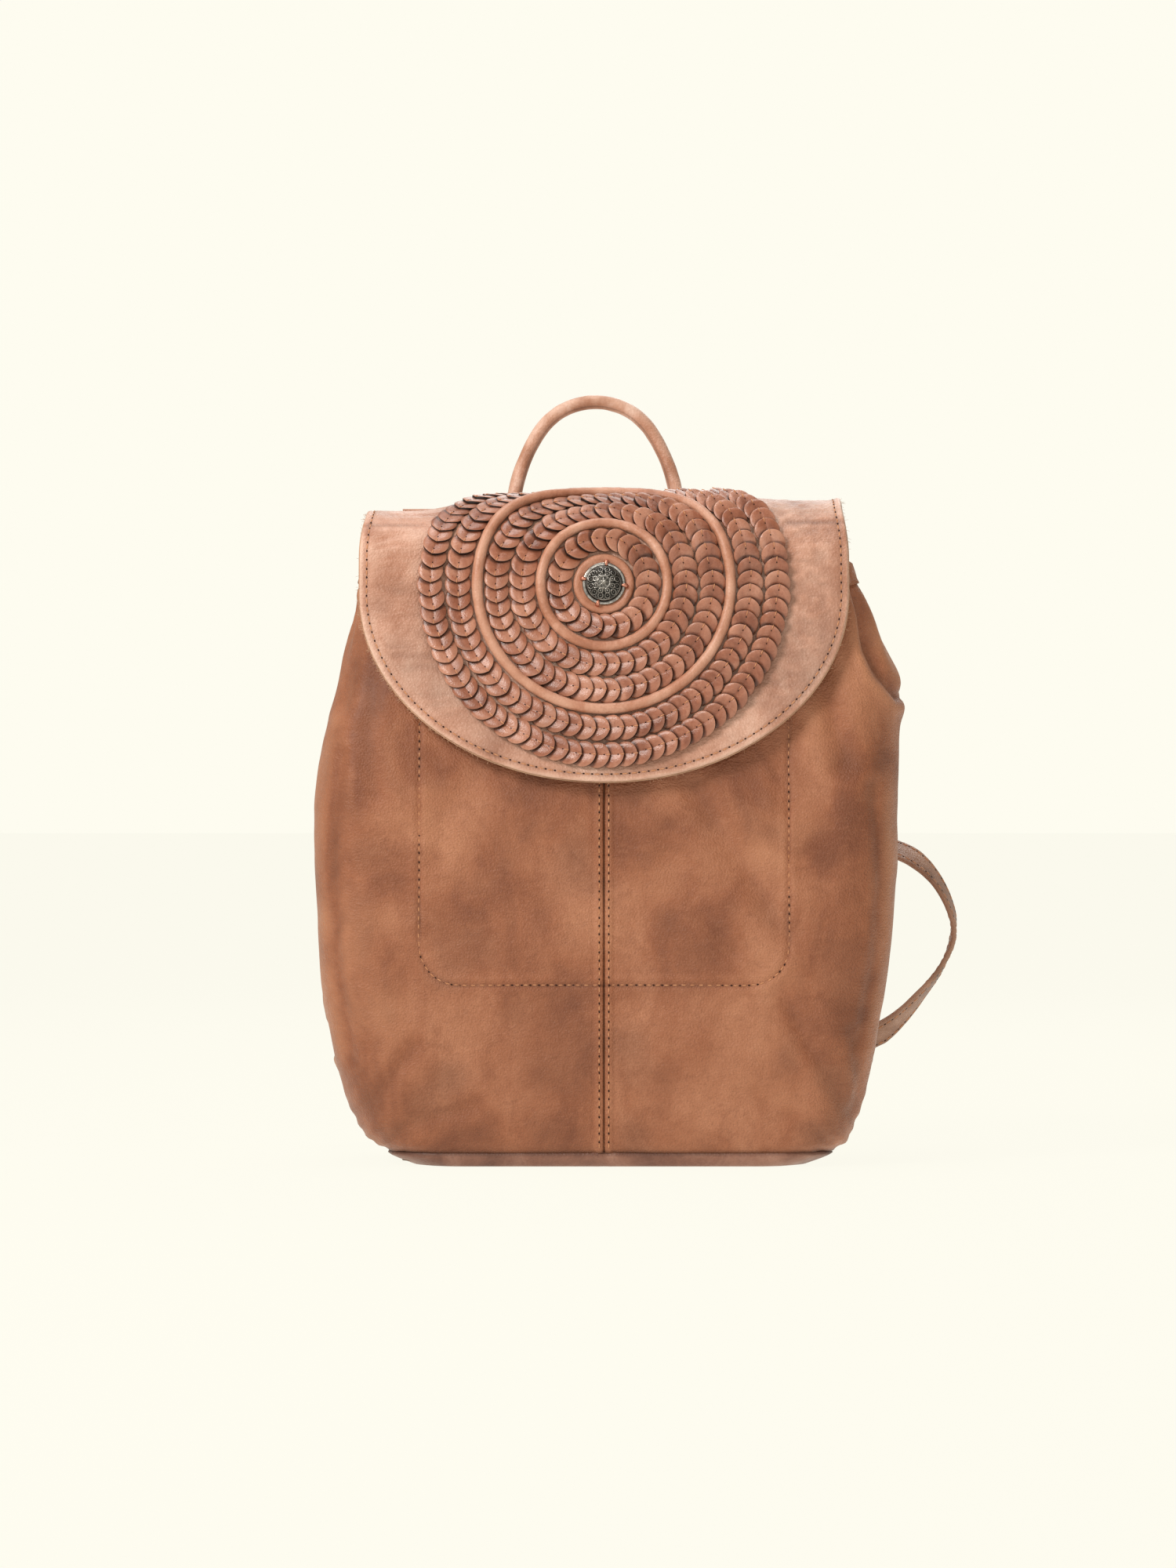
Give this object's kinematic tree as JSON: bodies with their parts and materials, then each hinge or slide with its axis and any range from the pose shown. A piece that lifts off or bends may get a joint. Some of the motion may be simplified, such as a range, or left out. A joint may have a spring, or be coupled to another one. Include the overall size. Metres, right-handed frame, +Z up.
{
  "type": "leather backpack",
  "caption": "Small leather backpack with a rounded front flap covered in rings of overlapping scales round a domed stud, a rolled top handle and buckled shoulder straps.",
  "frame": {"origin": "under the middle of the base, on the surface the bag stands on", "axes": "+Z up, -Y towards the front and the flap's medallion, +X to the right seen from the front"},
  "size_m": [0.3201, 0.2058, 0.3796],
  "materials": {
    "body_leather": "soft waxed tan-brown leather with mottled colour",
    "flap_leather": "lighter grained leather with a low sheen and raw edges",
    "flap_suede": "second layer of thin leather, rough side out",
    "scale_leather": "folded leather scales, rubbed lighter on top",
    "piping_leather": "smooth leather rolled over a cord",
    "strap_leather": "folded and edge-stitched leather",
    "lining_cloth": "plain woven cotton",
    "stiffener_board": "stiff board",
    "handle_cord": "twisted cotton cord",
    "antique_metal": "darkened antique silver",
    "copper": "copper coloured",
    "plated_steel": "antique nickel plate",
    "magnet": "dull ferrite"
  },
  "bodies": {
    "bag": {"front_panel_left": "body_leather", "front_panel_right": "body_leather", "back_panel": "body_leather", "base_panel": "body_leather", "mouth_hem": "body_leather", "lining_bag": "lining_cloth", "base_stiffener": "stiffener_board", "front_pocket": "body_leather", "flap_anchor_strip": "flap_leather", "handle_tab_left": "strap_leather", "handle_tab_right": "strap_leather", "snap_socket": "plated_steel", "snap_magnet": "magnet", "snap_socket_washer": "plated_steel", "strap_patch": "strap_leather", "strap_end_left": "strap_leather", "strap_end_right": "strap_leather", "strap_tab_left": "strap_leather", "strap_tab_right": "strap_leather"},
    "flap": {"flap_leather": "flap_leather", "flap_lining": "flap_suede", "scale_ring_a": "scale_leather", "scale_ring_b": "scale_leather", "scale_ring_c": "scale_leather", "scale_ring_d": "scale_leather", "scale_ring_e": "scale_leather", "piping_outer": "piping_leather", "piping_inner": "piping_leather", "medallion_centre": "flap_leather", "stud_rim": "antique_metal", "stud_dome": "antique_metal", "stud_claws": "copper", "stud_post": "plated_steel", "stud_washer": "plated_steel", "snap_stud": "plated_steel", "snap_stud_washer": "plated_steel"},
    "handle": {"handle_roll": "strap_leather", "handle_core": "handle_cord"},
    "strap_right": {"strap_short_right": "strap_leather", "strap_long_right": "strap_leather", "buckle_frame_right": "plated_steel", "buckle_keeper_right": "strap_leather"},
    "strap_left": {"strap_short_left": "strap_leather", "strap_long_left": "strap_leather", "buckle_frame_left": "plated_steel", "buckle_keeper_left": "strap_leather"},
    "prong_right": {"buckle_prong_right": "plated_steel"},
    "prong_left": {"buckle_prong_left": "plated_steel"}
  },
  "joints": [
    {"name": "flap_hinge", "type": "hinge", "parent": "bag", "child": "flap", "pos_m": [0, 0.043, 0.3235], "axis": [-1, 0, 0], "range_deg": [0, 100]},
    {"name": "handle_swing", "type": "hinge", "parent": "bag", "child": "handle", "pos_m": [-0.004, 0.0492, 0.3155], "axis": [-1, 0, 0], "range_deg": [-12, 80]},
    {"name": "strap_right_swing", "type": "hinge", "parent": "bag", "child": "strap_right", "pos_m": [0.034, 0.064, 0.245], "axis": [-0.4566, 0.0094, 0.8896], "range_deg": [0, 80]},
    {"name": "strap_left_swing", "type": "hinge", "parent": "bag", "child": "strap_left", "pos_m": [-0.034, 0.064, 0.245], "axis": [-0.4566, -0.0094, -0.8896], "range_deg": [-65, 15]},
    {"name": "prong_right_hinge", "type": "hinge", "parent": "strap_right", "child": "prong_right", "pos_m": [0.06501, 0.09365, 0.1962], "axis": [0.8659, -0.2426, 0.4373], "range_deg": [0, 60]},
    {"name": "prong_left_hinge", "type": "hinge", "parent": "strap_left", "child": "prong_left", "pos_m": [-0.03789, 0.08102, 0.18241], "axis": [0.5676, -0.7766, -0.2734], "range_deg": [0, 60]}
  ]
}
